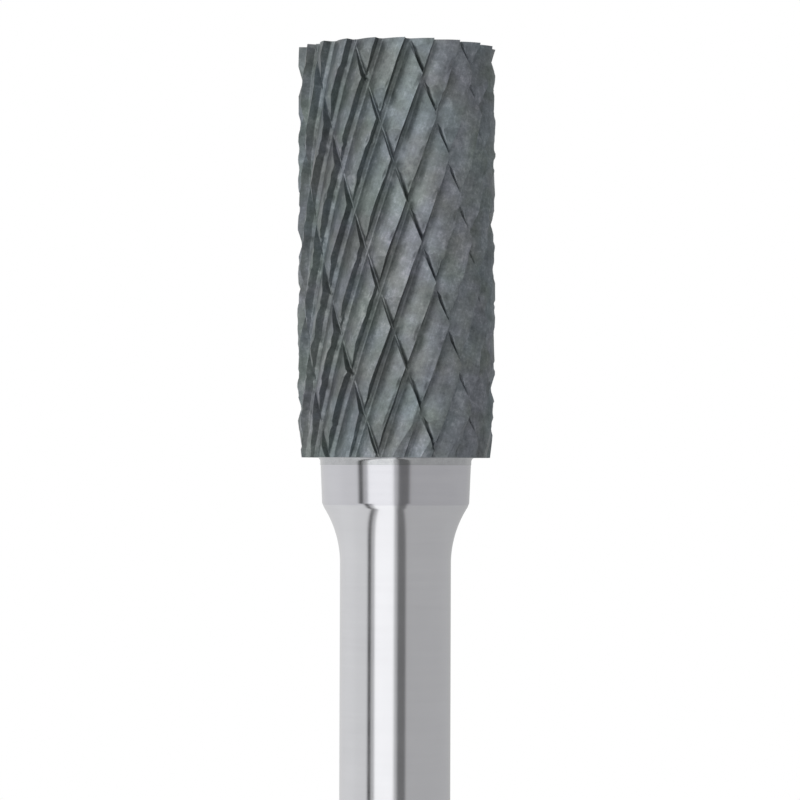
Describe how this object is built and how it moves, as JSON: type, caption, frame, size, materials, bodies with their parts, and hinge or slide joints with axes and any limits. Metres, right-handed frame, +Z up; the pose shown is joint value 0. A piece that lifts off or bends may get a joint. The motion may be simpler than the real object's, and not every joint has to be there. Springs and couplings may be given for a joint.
{
  "type": "carbide burr",
  "caption": "Cylindrical rotary burr with a plain end: a double-cut carbide head brazed to a collared steel shank with a hollow neck.",
  "frame": {"origin": "centre of the free end face of the shank, on which the burr stands", "axes": "+Z up the axis from the shank end to the plain end face of the head; -Y is the side seen from the front, +X to its right"},
  "size_m": [0.0114, 0.0114, 0.068],
  "materials": {
    "carbide": "ground tungsten carbide, satin dark grey",
    "braze": "silver braze, slightly dull",
    "steel": "bright, finely ground"
  },
  "bodies": {
    "root": {"carbide_head": "carbide", "braze_joint": "braze", "steel_shank": "steel"}
  },
  "joints": []
}
